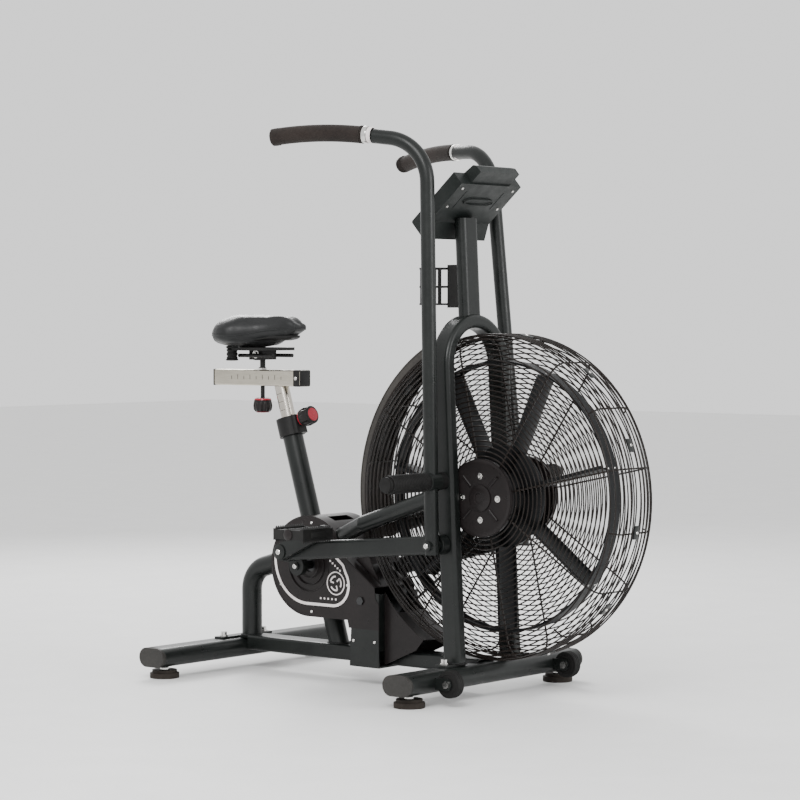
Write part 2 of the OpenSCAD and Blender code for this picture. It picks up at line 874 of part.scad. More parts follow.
module clamp_knob() {
    color(red) translate([carriage_x, 0, 0]) {
        translate([0, 0, 640]) cylinder(h = rail_z - 640, r = 5);
        translate([0, 0, 613]) cylinder(h = 34, r = 15);
        translate([0, 0, 619]) cylinder(h = 22, r = 21);
    }
}

// ---- wheels, feet and bolts ----------------------------------------------------------------

module right_transport_wheel() {
    color(rubber) difference() {
        rod([wheel_x, stabilizer_z], -wheel_y - tw_half, -wheel_y + tw_half, tw_r);
        rod([wheel_x, stabilizer_z], -wheel_y - 20, -wheel_y + 20, bolt_r + running);
    }
}

module left_transport_wheel() { on_left() right_transport_wheel(); }

module foot(x, y) {
    color("#2b2724") translate([x, y, 0]) {
        cylinder(h = 12, r = foot_r);
        translate([0, 0, 12]) cylinder(h = 7, r = foot_r - 5);
        cylinder(h = 44, r = 5);
    }
}

module front_right_foot() { foot(front_x, -foot_y); }
module front_left_foot() { foot(front_x, foot_y); }
module rear_right_foot() { foot(rear_x, -foot_y); }
module rear_left_foot() { foot(rear_x, foot_y); }

module frame_bolts() {
    color(chrome) {
        for (s = [-1, 1], p = [[front_x - 12, 134, 78.3], [rear_x, 69, 77.8]])
            translate([p[0], s * p[1], p[2]]) {
                cylinder(h = 3, r = 10);
                cylinder(h = 11, r = 7.5);
            }
        for (s = [-1, 1])
            rod([wheel_x, stabilizer_z], s * wheel_y - 19, s * wheel_y + 19, bolt_r);
        for (s = [-1, 1], e = [-19, 15])
            rod([wheel_x, stabilizer_z], s * wheel_y + e, s * wheel_y + e + 4, 8);
    }
}

front_stabilizer();
rear_stabilizer();
stabilizer_caps();
base_tube();
rear_upright();
seat_tube();
seat_collar();
right_hoop_leg();
left_hoop_leg();
mast();
right_stay();
left_stay();
bottom_bracket_shell();
shaft_bearings();
drive_bracket();
right_crank_cover();
left_crank_cover();
drive_guard();
drive_belts();
fan_axle();
right_cage();
left_cage();
cage_rim();
rear_fender();
right_hub_plate();
left_hub_plate();
console_housing();
console_screen();
bottle_holder();
right_foot_peg();
left_foot_peg();
frame_bolts();
crank_spindle();
right_crank();
left_crank();
right_link();
left_link();
right_pedal();
left_pedal();
right_lever();
left_lever();
right_grip();
left_grip();
jackshaft();
fan_wheel();
seat_post();
seat_rail();
saddle_carriage();
saddle();
height_knob();
clamp_knob();
right_transport_wheel();
left_transport_wheel();
front_right_foot();
front_left_foot();
rear_right_foot();
rear_left_foot();
mode_button();
start_button();
stop_button();
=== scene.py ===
"""Air bike: materials, wire cage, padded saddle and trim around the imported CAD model, in metres."""

import json
import math
import random

import bmesh
import bpy
import numpy as np
from mathutils import Matrix, Vector


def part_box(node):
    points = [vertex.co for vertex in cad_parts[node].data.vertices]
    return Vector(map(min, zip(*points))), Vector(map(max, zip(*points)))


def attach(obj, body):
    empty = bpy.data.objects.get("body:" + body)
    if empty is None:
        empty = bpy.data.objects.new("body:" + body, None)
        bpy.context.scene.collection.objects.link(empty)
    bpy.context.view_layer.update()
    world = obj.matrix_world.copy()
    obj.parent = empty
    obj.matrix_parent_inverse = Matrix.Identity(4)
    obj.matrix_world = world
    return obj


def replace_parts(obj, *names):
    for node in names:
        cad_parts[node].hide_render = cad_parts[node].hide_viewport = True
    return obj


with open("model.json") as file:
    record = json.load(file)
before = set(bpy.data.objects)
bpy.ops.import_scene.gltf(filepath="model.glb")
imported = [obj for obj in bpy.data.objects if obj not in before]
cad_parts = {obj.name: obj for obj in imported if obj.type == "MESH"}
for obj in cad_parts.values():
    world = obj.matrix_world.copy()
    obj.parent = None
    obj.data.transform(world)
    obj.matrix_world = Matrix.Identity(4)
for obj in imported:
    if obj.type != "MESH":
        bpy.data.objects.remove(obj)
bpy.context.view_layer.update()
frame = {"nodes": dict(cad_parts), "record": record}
random.seed(7)

JOINTS = {j["name"]: j for j in frame["record"]["behaviour"]["joints"]}
CRANK = Vector(JOINTS["crank_turn"]["pos_m"])
FAN = Vector(JOINTS["fan_turn"]["pos_m"])
SIDES = {"right": -1, "left": 1}
X, Y, Z = Vector((1, 0, 0)), Vector((0, 1, 0)), Vector((0, 0, 1))

# ---- camera ----------------------------------------------------------------------------------

CAMERA_PLACE = (3.761, -4.582, 0.835)
CAMERA_AZIMUTH = 39.71
CAMERA_PITCH = -1.78
CAMERA_LENS = 117.5


def add_camera():
    data = bpy.data.cameras.new("camera")
    data.lens = CAMERA_LENS
    data.sensor_width = 36
    obj = bpy.data.objects.new("camera", data)
    obj.location = CAMERA_PLACE
    obj.rotation_euler = (math.radians(90 + CAMERA_PITCH), 0, math.radians(CAMERA_AZIMUTH))
    bpy.context.collection.objects.link(obj)
    bpy.context.scene.camera = obj


# ---- materials -------------------------------------------------------------------------------


def add_texture(tree, kind, scale, coords, detail=3.0):
    """A noise or a cell texture; returns the output that carries its pattern."""
    if kind == "cells":
        node = tree.nodes.new("ShaderNodeTexVoronoi")
        out = node.outputs["Distance"]
    else:
        node = tree.nodes.new("ShaderNodeTexNoise")
        node.inputs["Detail"].default_value = detail
        out = node.outputs["Fac"]
    node.inputs["Scale"].default_value = scale
    tree.links.new(coords, node.inputs["Vector"])
    return out


def finish(name, dark, light, rough, metal=0.0, grain=900.0, relief=0.1, patch=7.0, kind="noise",
           stretch=(1, 1, 1), coat=0.0, sheen=0.0, specular=0.22, depth=0.0004):
    """A surface whose colour drifts from dark to light, with its own roughness range and grain."""
    mat = bpy.data.materials.new(name)
    mat.use_nodes = True
    tree = mat.node_tree
    shader = tree.nodes["Principled BSDF"]
    shader.inputs["Metallic"].default_value = metal
    shader.inputs["Coat Weight"].default_value = coat
    shader.inputs["Sheen Weight"].default_value = sheen
    shader.inputs["Specular IOR Level"].default_value = 0.5 if metal == 1 else specular
    place = tree.nodes.new("ShaderNodeTexCoord")
    mapping = tree.nodes.new("ShaderNodeMapping")
    mapping.inputs["Scale"].default_value = stretch
    tree.links.new(place.outputs["Object"], mapping.inputs["Vector"])
    coords = mapping.outputs["Vector"]

    drift = add_texture(tree, "noise", patch, coords, detail=5)
    speck = add_texture(tree, "noise", patch * 25, coords)
    both = tree.nodes.new("ShaderNodeMath")
    both.operation = "MULTIPLY_ADD"
    both.inputs[1].default_value = 0.4
    tree.links.new(speck, both.inputs[0])
    tree.links.new(drift, both.inputs[2])
    ramp = tree.nodes.new("ShaderNodeValToRGB")
    ramp.color_ramp.elements[0].position = 0.45
    ramp.color_ramp.elements[0].color = (*dark, 1)
    ramp.color_ramp.elements[1].position = 0.95
    ramp.color_ramp.elements[1].color = (*light, 1)
    tree.links.new(both.outputs[0], ramp.inputs["Fac"])
    tree.links.new(ramp.outputs["Color"], shader.inputs["Base Color"])

    spread = tree.nodes.new("ShaderNodeMapRange")
    spread.inputs["From Min"].default_value = 0.3
    spread.inputs["From Max"].default_value = 0.7
    spread.inputs["To Min"].default_value = rough[0]
    spread.inputs["To Max"].default_value = rough[1]
    tree.links.new(add_texture(tree, "noise", patch * 6, coords, detail=6), spread.inputs["Value"])
    tree.links.new(spread.outputs["Result"], shader.inputs["Roughness"])

    bump = tree.nodes.new("ShaderNodeBump")
    bump.inputs["Strength"].default_value = relief
    bump.inputs["Distance"].default_value = depth
    tree.links.new(add_texture(tree, kind, grain, coords), bump.inputs["Height"])
    tree.links.new(bump.outputs["Normal"], shader.inputs["Normal"])
    return mat


POWDER = finish("powder_coat", (0.0035, 0.0045, 0.0042), (0.0105, 0.0125, 0.0115), (0.26, 0.40), relief=0.22,
                grain=800, specular=0.30)
PLASTIC = finish("moulded_plastic", (0.005, 0.005, 0.005), (0.013, 0.0125, 0.012), (0.42, 0.58), kind="cells",
                 relief=0.25, grain=1300)
COVER = finish("cover_gloss", (0.0065, 0.0052, 0.0052), (0.0165, 0.0130, 0.0130), (0.26, 0.38), relief=0.06)
WIRE = finish("wire_enamel", (0.005, 0.004, 0.0035), (0.016, 0.011, 0.009), (0.24, 0.38), relief=0.05, patch=5)
BLADE = finish("fan_steel", (0.005, 0.0055, 0.006), (0.014, 0.015, 0.016), (0.34, 0.50), metal=0.3, relief=0.12)
CHROME = finish("chrome", (0.56, 0.55, 0.53), (0.80, 0.79, 0.77), (0.10, 0.24), metal=1.0, relief=0.04, patch=20)
STEEL = finish("dark_steel", (0.035, 0.036, 0.037), (0.075, 0.076, 0.078), (0.30, 0.45), metal=1.0, relief=0.08)
SILVER = finish("satin_silver", (0.40, 0.375, 0.315), (0.60, 0.56, 0.48), (0.26, 0.42), metal=1.0, relief=0.2,
                grain=500, stretch=(0.12, 1, 1), patch=12)
POST = finish("post_silver", (0.46, 0.43, 0.38), (0.66, 0.62, 0.56), (0.18, 0.32), metal=1.0, relief=0.12,
              grain=500, stretch=(1, 1, 0.12), patch=12)
FOAM = finish("grip_foam", (0.009, 0.0065, 0.0055), (0.027, 0.020, 0.017), (0.80, 0.95), kind="cells", grain=620,
              relief=0.7, sheen=0.08)
RUBBER = finish("rubber", (0.004, 0.004, 0.004), (0.013, 0.0125, 0.012), (0.55, 0.75), relief=0.3, grain=700)
FOOT = finish("foot_rubber", (0.013, 0.010, 0.008), (0.034, 0.027, 0.022), (0.60, 0.80), relief=0.35, grain=500)
CAP = finish("cap_plastic", (0.018, 0.017, 0.016), (0.042, 0.040, 0.037), (0.40, 0.55), kind="cells", relief=0.2)
LEATHER = finish("saddle_leather", (0.003, 0.0035, 0.0038), (0.0115, 0.0120, 0.0125), (0.34, 0.52), kind="cells",
                 grain=520, relief=0.38, patch=14, sheen=0.05, specular=0.32)
STITCH = finish("stitching", (0.014, 0.014, 0.0145), (0.034, 0.034, 0.034), (0.70, 0.85), grain=2500, relief=0.5)
RED = finish("red_moulding", (0.22, 0.006, 0.016), (0.40, 0.018, 0.036), (0.22, 0.34), coat=0.3, relief=0.05)
FENDER = finish("fender_paint", (0.022, 0.020, 0.018), (0.060, 0.055, 0.050), (0.34, 0.50), relief=0.15)
LENS = finish("screen_lens", (0.002, 0.003, 0.0035), (0.007, 0.010, 0.011), (0.05, 0.12), coat=0.3, relief=0.02)
SEGMENT = finish("screen_segment", (0.10, 0.13, 0.12), (0.17, 0.21, 0.19), (0.35, 0.45), relief=0.02)
BUTTON = finish("button_plastic", (0.060, 0.063, 0.065), (0.11, 0.115, 0.12), (0.40, 0.52), relief=0.15)
PRINT = finish("white_print", (0.72, 0.66, 0.65), (0.92, 0.87, 0.86), (0.40, 0.52), relief=0.1, patch=40)
HOUSING = finish("console_plastic", (0.006, 0.008, 0.0075), (0.016, 0.019, 0.0175), (0.38, 0.54), kind="cells",
                 grain=1200, relief=0.3)
WELD = finish("weld_bead", (0.004, 0.0045, 0.0045), (0.013, 0.0135, 0.0135), (0.34, 0.50), grain=320, relief=0.6)
BELT = finish("belt", (0.005, 0.005, 0.005), (0.014, 0.0135, 0.013), (0.60, 0.78), relief=0.3, grain=500)

CAD_FINISH = {
    CAP: ["stabilizer_caps"],
    COVER: ["right_crank_cover", "left_crank_cover", "drive_guard", "right_hub_plate", "left_hub_plate"],
    PLASTIC: ["seat_collar", "bottle_holder", "right_foot_peg", "left_foot_peg", "right_pedal", "left_pedal",
              "saddle_carriage", "height_knob", "clamp_knob"],
    HOUSING: ["console_housing"],
    LENS: ["console_screen"],
    FENDER: ["rear_fender"],
    BLADE: ["fan_wheel"],
    CHROME: ["frame_bolts"],
    STEEL: ["shaft_bearings", "fan_axle", "crank_spindle", "jackshaft"],
    SILVER: ["seat_rail"],
    POST: ["seat_post"],
    FOAM: ["right_grip", "left_grip"],
    RUBBER: ["right_transport_wheel", "left_transport_wheel"],
    FOOT: ["front_right_foot", "front_left_foot", "rear_right_foot", "rear_left_foot"],
    BELT: ["drive_belts"],
    BUTTON: ["mode_button", "start_button", "stop_button"],
}


def paint_cad():
    """Gives every CAD node its material; what the table doesn't name is powder-coated steel."""
    named = {node: mat for mat, nodes in CAD_FINISH.items() for node in nodes}
    for node, obj in frame["nodes"].items():
        obj.data.materials.clear()
        obj.data.materials.append(named.get(node, POWDER))


# ---- shapes ----------------------------------------------------------------------------------


def facing(axis):
    """Rotation that takes +Z to an axis."""
    return Vector(axis).normalized().to_track_quat("Z", "Y").to_matrix().to_4x4()


class Shape:
    """Collects swept, turned and block-shaped surfaces into one mesh."""

    def __init__(self):
        self.bm = bmesh.new()

    def strip(self, loops, closed_loops=True, closed_path=False):
        """Joins loops of points, each as long as the next, with quads."""
        rows = [[self.bm.verts.new(p) for p in loop] for loop in loops]
        count = len(rows[0])
        last = len(rows) if closed_path else len(rows) - 1
        for i in range(last):
            a, b = rows[i], rows[(i + 1) % len(rows)]
            for j in range(count if closed_loops else count - 1):
                k = (j + 1) % count
                self.bm.faces.new((a[j], a[k], b[k], b[j]))
        return rows

    def tube(self, path, radius, closed=False, sides=8, wobble=0.0):
        """Sweeps a circle along a path; wobble varies its radius, as in a weld bead."""
        path = [Vector(p) for p in path]
        n = len(path)
        loops = []
        normal = None
        for i, p in enumerate(path):
            ahead = path[(i + 1) % n] if closed or i < n - 1 else p
            behind = path[i - 1] if closed or i > 0 else p
            along = (ahead - behind).normalized()
            if normal is None:
                normal = along.orthogonal().normalized()
            normal = (normal - along * normal.dot(along)).normalized()
            side = along.cross(normal)
            r = radius * (1 + wobble * math.sin(2.4 * i) * random.uniform(0.6, 1))
            loops.append([p + r * (math.cos(t) * normal + math.sin(t) * side)
                          for t in (2 * math.pi * j / sides for j in range(sides))])
        rows = self.strip(loops, closed_path=closed)
        if not closed:
            self.bm.faces.new(list(reversed(rows[0])))
            self.bm.faces.new(rows[-1])

    def turned(self, profile, centre, axis, segments=48, flutes=0, flute_depth=0.0, hollow=False):
        """Turns a profile of (radius, height) pairs about an axis; flutes scallop its rim, and a hollow one is a ring."""
        place = Matrix.Translation(centre) @ facing(axis)
        widest = max(r for r, _ in profile)
        loops = []
        for r, h in profile:
            loop = []
            for j in range(segments):
                t = 2 * math.pi * j / segments
                dip = flute_depth * (r / widest) ** 4 * (0.5 - 0.5 * math.cos(flutes * t)) if flutes else 0
                loop.append(place @ Vector(((r - dip) * math.cos(t), (r - dip) * math.sin(t), h)))
            loops.append(loop)
        rows = self.strip(loops, closed_path=hollow)
        if profile[0][0] > 0 and not hollow:
            self.bm.faces.new(list(reversed(rows[0])))
        if profile[-1][0] > 0 and not hollow:
            self.bm.faces.new(rows[-1])

    def block(self, centre, size, turn=None, bevel=0.001):
        """A bevelled block."""
        place = Matrix.Translation(centre) @ (turn or Matrix.Identity(4)) @ Matrix.Diagonal((*size, 1))
        made = bmesh.ops.create_cube(self.bm, size=1, matrix=place)
        edges = list({e for v in made["verts"] for e in v.link_edges})
        bmesh.ops.bevel(self.bm, geom=edges, offset=bevel, segments=2, affect="EDGES", profile=0.5)

    def ribbon(self, path, width, normal, height=0.0004, closed=False):
        """A flat strip that stands slightly proud of a surface."""
        path = [Vector(p) for p in path]
        normal = Vector(normal)
        n = len(path)
        loops = []
        for i, p in enumerate(path):
            ahead = path[(i + 1) % n] if closed or i < n - 1 else p
            behind = path[i - 1] if closed or i > 0 else p
            side = (ahead - behind).normalized().cross(normal) * width / 2
            loops.append([p - side, p - side + normal * height, p + side + normal * height, p + side])
        rows = self.strip(loops, closed_path=closed)
        if not closed:
            self.bm.faces.new(list(reversed(rows[0])))
            self.bm.faces.new(rows[-1])

    def done(self, name, mat, body, slot, angle=40):
        """Turns the shape into a piece that rides on a body."""
        bmesh.ops.remove_doubles(self.bm, verts=self.bm.verts, dist=1e-6)
        bmesh.ops.recalc_face_normals(self.bm, faces=self.bm.faces)
        mesh = bpy.data.meshes.new(name)
        self.bm.to_mesh(mesh)
        self.bm.free()
        mesh.materials.append(mat)
        obj = bpy.data.objects.new(name, mesh)
        bpy.context.collection.objects.link(obj)
        mesh.shade_smooth()
        mesh.set_sharp_from_angle(angle=math.radians(angle))
        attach(obj, body)
        return obj


def arc(centre, radius, start, end, steps=24):
    """Points of an arc in the X-Z plane, angles in degrees from +X towards +Z."""
    centre = Vector(centre)
    return [centre + radius * Vector((math.cos(t), 0, math.sin(t)))
            for t in (math.radians(start + (end - start) * i / steps) for i in range(steps + 1))]


def circle(centre, radius, axis, steps=48):
    place = Matrix.Translation(centre) @ facing(axis)
    return [place @ Vector((radius * math.cos(t), radius * math.sin(t), 0))
            for t in (2 * math.pi * i / steps for i in range(steps))]


def bolt(shape, centre, axis, radius, height, washer=True):
    """A domed hexagon-socket bolt head with its washer."""
    if washer:
        shape.turned([(radius * 1.5, 0), (radius * 1.5, height * 0.22), (radius, height * 0.25)], centre, axis)
    shape.turned([(radius, 0), (radius, height * 0.7), (radius * 0.8, height), (radius * 0.5, height),
                  (radius * 0.45, height * 0.6), (0, height * 0.6)], centre, axis, segments=24)


def cad_points(node):
    return np.array([v.co for v in frame["nodes"][node].data.vertices])


def end_ring(node, along):
    """Centre and outward direction of the end face that a bent tube has furthest along a direction."""
    points = cad_points(node)
    t = points @ np.array(along)
    ring = points[t > t.max() - 0.009]
    centre = (ring.max(0) + ring.min(0)) / 2
    normal = np.linalg.svd(ring - centre)[2][2]
    return Vector(centre), Vector(normal * np.sign(normal @ np.array(along)))


# ---- fan cage --------------------------------------------------------------------------------

WIRE_R = 0.0016
WIRE_PITCH = 0.0112
SPOKES = 8


def cage_profile():
    """Half section of the cage as (radius, distance from the middle), from the hub out to the rim's middle."""
    low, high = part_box("cage_rim")
    rim_r = (high.z - low.z) / 2 - WIRE_R
    face_y = max(abs(low.y), abs(high.y)) - WIRE_R
    hub_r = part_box("right_hub_plate")[1].z - FAN.z - 0.006
    shoulder = 0.040
    points = [(hub_r, face_y)]
    points += [(rim_r - shoulder + shoulder * math.sin(t), face_y - 0.030 + 0.030 * math.cos(t))
               for t in (math.radians(a) for a in range(0, 91, 9))]
    points.append((rim_r, 0.003))
    return points


def along_profile(points, step):
    """Points at an even spacing along a half section."""
    out, left = [], 0.0
    for (r0, y0), (r1, y1) in zip(points, points[1:]):
        length = math.hypot(r1 - r0, y1 - y0)
        while left < length:
            t = left / length
            out.append((r0 + t * (r1 - r0), y0 + t * (y1 - y0)))
            left += step
        left -= length
    return out


def add_cage(side):
    sign = SIDES[side]
    profile = cage_profile()
    wires = Shape()
    for r, y in along_profile(profile, WIRE_PITCH):
        wires.tube(circle(FAN + sign * y * Y, r, Y, steps=120), WIRE_R, closed=True, sides=6)
    for k in range(SPOKES * 2):
        t = math.radians(12 + 180 / SPOKES * k)
        out = Vector((math.cos(t), 0, math.sin(t)))
        inside = profile if k % 2 == 0 else profile[4:]
        wires.tube([FAN + out * (r - 2.4 * WIRE_R) + sign * (y - 2 * WIRE_R) * Y for r, y in inside],
                   WIRE_R * 1.25, sides=6)
    obj = wires.done(f"{side}_wire_cage", WIRE, "frame", "black_wire")
    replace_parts(obj, f"{side}_cage", "cage_rim")

    hub = Shape()
    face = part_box(f"{side}_hub_plate")
    outer_y = face[0].y if sign < 0 else face[1].y
    centre = Vector((FAN.x, outer_y, FAN.z))
    axis = sign * Y
    hub.turned([(0.084, -0.001), (0.084, 0.0012), (0.078, 0.0022), (0.074, 0.0005)], centre, axis, segments=96)
    hub.turned([(0.030, -0.002), (0.029, 0.003), (0.022, 0.005), (0.012, 0.005), (0.011, 0.003), (0, 0.003)],
               centre, axis)
    for k in range(4):
        t = math.radians(45 + 90 * k)
        hub.tube([centre + r * (math.cos(t) * X + math.sin(t) * Z) + sign * 0.0004 * Y
                  for r in (0.036, 0.05, 0.066)], 0.0035, sides=10)
    hub.done(f"{side}_hub_ribs", COVER, "frame", "gloss_cover")
    bolts = Shape()
    for k in range(4):
        t = math.radians(90 * k)
        bolt(bolts, centre + 0.048 * (math.cos(t) * X + math.sin(t) * Z), axis, 0.0048, 0.004)
    bolts.done(f"{side}_hub_bolts", CHROME, "frame", "chrome_steel")


def add_cage_clamps():
    clamps, bolts = Shape(), Shape()
    rim_r = (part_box("cage_rim")[1].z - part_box("cage_rim")[0].z) / 2
    for k in range(8):
        t = math.radians(-70 + 30 * k)
        out = Vector((math.cos(t), 0, math.sin(t)))
        turn = facing(out)
        clamps.block(FAN + out * (rim_r - 0.0005), (0.016, 0.030, 0.0035), turn, bevel=0.001)
        bolt(bolts, FAN + out * (rim_r + 0.0008), out, 0.0035, 0.003, washer=False)
    clamps.done("cage_clamps", POWDER, "frame", "powder_steel")
    bolts.done("cage_clamp_bolts", CHROME, "frame", "chrome_steel")


# ---- fan wheel -------------------------------------------------------------------------------

PADDLES = 7
PADDLE_START = 65.5


def add_fan_wheel():
    """Sheet paddles with folded edges between the centre disc and the ring."""
    low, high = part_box("fan_wheel")
    wheel_r = (high.z - low.z) / 2
    half = 0.031
    blades = Shape()
    for k in range(PADDLES):
        t = math.radians(PADDLE_START + 360 / PADDLES * k)
        out = Vector((math.cos(t), 0, math.sin(t)))
        across = Vector((-math.sin(t), 0, math.cos(t)))
        section = [(-half, 0.007), (-half + 0.001, 0.001), (-half * 0.6, -0.0025), (0, -0.0035),
                   (half * 0.6, -0.0025), (half - 0.001, 0.001), (half, 0.007)]
        thick = 0.0012
        outline = [(y, c) for y, c in section] + [(y, c + thick) for y, c in reversed(section)]
        stations = [(0.045, 0.55), (0.075, 0.85), (0.11, 1), (0.20, 1), (wheel_r - 0.012, 1), (wheel_r - 0.004, 0.9)]
        loops = [[FAN + r * out + across * c + Y * y * w for y, c in outline] for r, w in stations]
        rows = blades.strip(loops)
        blades.bm.faces.new(list(reversed(rows[0])))
        blades.bm.faces.new(rows[-1])
    for y in (-0.0135, 0.0135):
        blades.turned([(wheel_r - 0.006, -0.0005), (wheel_r - 0.001, -0.0022), (wheel_r, 0),
                       (wheel_r - 0.001, 0.0022), (wheel_r - 0.006, 0.0005)], FAN + y * Y, Y, segments=120,
                      hollow=True)
    blades.turned([(0.112, -0.002), (0.112, 0.002), (0.104, 0.006), (0.060, 0.008), (0.046, 0.030),
                   (0.046, -0.030), (0.060, -0.008), (0.104, -0.006)], FAN, Y, segments=96, hollow=True)
    blades.turned([(wheel_r, -0.019), (wheel_r, 0.019), (wheel_r - 0.0015, 0.019), (wheel_r - 0.0015, -0.019)],
                  FAN, Y, segments=120, hollow=True)
    obj = blades.done("fan_blades", BLADE, "fan_wheel", "black_wire")
    rivets = Shape()
    for k in range(PADDLES):
        t = math.radians(PADDLE_START + 360 / PADDLES * k)
        out = Vector((math.cos(t), 0, math.sin(t)))
        for y in (-0.012, 0.012):
            rivets.turned([(0.004, -0.001), (0.004, 0.0008), (0.002, 0.0022), (0, 0.0024)],
                          FAN + out * (wheel_r - 0.002) + y * Y, out, segments=12)
    rivets.done("fan_rivets", CHROME, "fan_wheel", "chrome_steel")
    return obj


# ---- crank covers ----------------------------------------------------------------------------


def add_cover_print(side):
    """White line and a plain roundel on a crank cover."""
    sign = SIDES[side]
    low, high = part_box(f"{side}_crank_cover")
    y = low.y if sign < 0 else high.y
    centre = Vector((CRANK.x, y + sign * 0.0002, CRANK.z))
    big = centre + Vector((-0.003, 0, 0.010))
    small = centre + Vector((0.074, 0, -0.041))
    roundel = centre + Vector((0.084, 0, -0.038))
    path = arc(big, 0.100, 178, 270, 40) + arc(small, 0.049, -90, 35, 30)
    path += [centre + Vector((0.106, 0, 0.005)), centre + Vector((0.084, 0, 0.022))]
    print_ = Shape()
    print_.ribbon(path, 0.0065, sign * Y)
    print_.ribbon(arc(roundel, 0.026, 0, 345, 40), 0.0028, sign * Y, closed=True)
    for k in range(3):
        a = 90 + 120 * k
        hook = arc(roundel, 0.016, a, a + 78, 12)
        print_.ribbon(hook, 0.0038, sign * Y)
        print_.ribbon([hook[-1], roundel + (hook[-1] - roundel) * 0.35], 0.0034, sign * Y)
    for k in range(5):
        t = k / 4
        top = centre + Vector((0.067 + 0.030 * t, 0, 0.013 - 0.021 * t))
        under = centre + Vector((0.038 + 0.046 * t, 0, -0.075))
        for p in (top, under):
            print_.ribbon([p - 0.0022 * X, p + 0.0022 * X], 0.0044, sign * Y)
    print_.done(f"{side}_cover_print", PRINT, "frame", "white_print")

    trim = Shape()
    for r in (0.062, 0.046, 0.030):
        trim.tube(circle(centre, r, Y, steps=72), 0.0012, closed=True)
    rim = [Vector((-0.262, y, 0.262)) + 0.113 * Vector((math.cos(t), 0, math.sin(t)))
           for t in (math.radians(80 + 190 * i / 60) for i in range(61))]
    trim.tube([p - sign * 0.0006 * Y for p in rim], 0.0014)
    trim.done(f"{side}_cover_trim", COVER, "frame", "gloss_cover")
    screws = Shape()
    for dx, dz in ((-0.085, 0.060), (-0.085, -0.050), (0.010, -0.108), (0.120, -0.040), (0.010, 0.098)):
        bolt(screws, centre + Vector((dx, 0, dz)), sign * Y, 0.0034, 0.0022, washer=False)
    screws.done(f"{side}_cover_screws", CHROME, "frame", "chrome_steel")


# ---- cranks, pedals, levers ------------------------------------------------------------------


def add_pedal(side):
    """Toothed side plates, a ribbed barrel and an end cap on a pedal."""
    low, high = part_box(f"{side}_pedal")
    mid = (low + high) / 2
    teeth = Shape()
    for x in (low.x + 0.0045, high.x - 0.0045):
        for i in range(13):
            y = low.y + 0.006 + (high.y - low.y - 0.012) * i / 12
            for up in (-1, 1):
                base = (high.z - mid.z) * up
                teeth.turned([(0.0046, -0.001), (0.0036, 0.0018), (0.0012, 0.0056), (0, 0.006)],
                             Vector((x, y, mid.z + base)), up * Z, segments=4)
    for i in range(4):
        y = low.y + 0.022 + (high.y - low.y - 0.044) * i / 3
        for up in (-1, 1):
            teeth.block(Vector((mid.x, y, mid.z + up * 0.009)), (high.x - low.x - 0.010, 0.004, 0.004), bevel=0.001)
    teeth.done(f"{side}_pedal_teeth", PLASTIC, f"{side}_pedal", "matte_plastic")
    cap = Shape()
    sign = SIDES[side]
    end = low.y if sign < 0 else high.y
    cap.turned([(0.0125, -0.001), (0.0125, 0.002), (0.009, 0.004), (0, 0.0045)],
               Vector((mid.x, end, mid.z)), sign * Y, segments=32)
    cap.done(f"{side}_pedal_cap", COVER, f"{side}_pedal", "gloss_cover")
    lights = Shape()
    for s in (-1, 1):
        x = low.x if s < 0 else high.x
        lights.block(Vector((x + s * 0.0008, mid.y, mid.z)), (0.003, 0.050, 0.012), bevel=0.0012)
    lights.done(f"{side}_pedal_plates", RUBBER, f"{side}_pedal", "black_rubber")


def add_bearing_caps(side):
    """Bolts and caps on the crank, the link's ends and the lever's two pins."""
    sign = SIDES[side]
    link_pin = Vector(JOINTS[f"{side}_link_swing"]["pos_m"])
    pedal = Vector(JOINTS[f"{side}_pedal_turn"]["pos_m"])
    pivot = Vector(JOINTS[f"{side}_lever_swing"]["pos_m"])
    crank_face = max(abs(v) for v in (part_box(f"{side}_crank")[0].y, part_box(f"{side}_crank")[1].y))
    arm_face = 0.156
    caps, bolts = Shape(), Shape()
    caps.turned([(0.017, 0), (0.017, 0.003), (0.013, 0.005), (0.006, 0.005)],
                Vector((link_pin.x, sign * arm_face, link_pin.z)), sign * Y)
    caps.turned([(0.013, 0), (0.013, 0.003), (0.010, 0.004)], Vector((pedal.x, sign * arm_face, pedal.z)), sign * Y)
    bolt(bolts, Vector((link_pin.x, sign * (arm_face + 0.004), link_pin.z)), sign * Y, 0.0065, 0.004)
    bolt(bolts, Vector((CRANK.x, sign * 0.116, CRANK.z)), sign * Y, 0.006, 0.0045, washer=False)
    caps.done(f"{side}_crank_caps", POWDER, "crank", "powder_steel")
    bolts.done(f"{side}_crank_bolts", CHROME, "crank", "chrome_steel")

    eye = Shape()
    link_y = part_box(f"{side}_link")
    outer = max(abs(link_y[0].y), abs(link_y[1].y))
    low_z, high_x = link_y[0].z, link_y[1].x
    eye.tube(circle(Vector((link_pin.x, sign * outer, link_pin.z)), 0.021, Y), 0.0012, closed=True)
    front = Vector((high_x - 0.022, sign * outer, lever_pin(side).z))
    eye.tube(circle(front, 0.019, Y), 0.0012, closed=True)
    eye.done(f"{side}_link_rings", POWDER, f"{side}_link", "powder_steel")

    sleeve = Shape()
    outer_y = 0.1718
    sleeve.tube(circle(Vector((pivot.x, sign * outer_y, pivot.z)), 0.0195, Y), 0.0014, closed=True)
    pin = lever_pin(side)
    sleeve.turned([(0.0115, 0), (0.0115, 0.002), (0.009, 0.003)], Vector((pin.x, sign * outer_y, pin.z)), sign * Y)
    sleeve.done(f"{side}_lever_caps", POWDER, f"{side}_lever", "powder_steel")
    pins = Shape()
    bolt(pins, Vector((pin.x, sign * (outer_y + 0.002), pin.z)), sign * Y, 0.006, 0.004, washer=False)
    pins.done(f"{side}_lever_bolts", CHROME, f"{side}_lever", "chrome_steel")


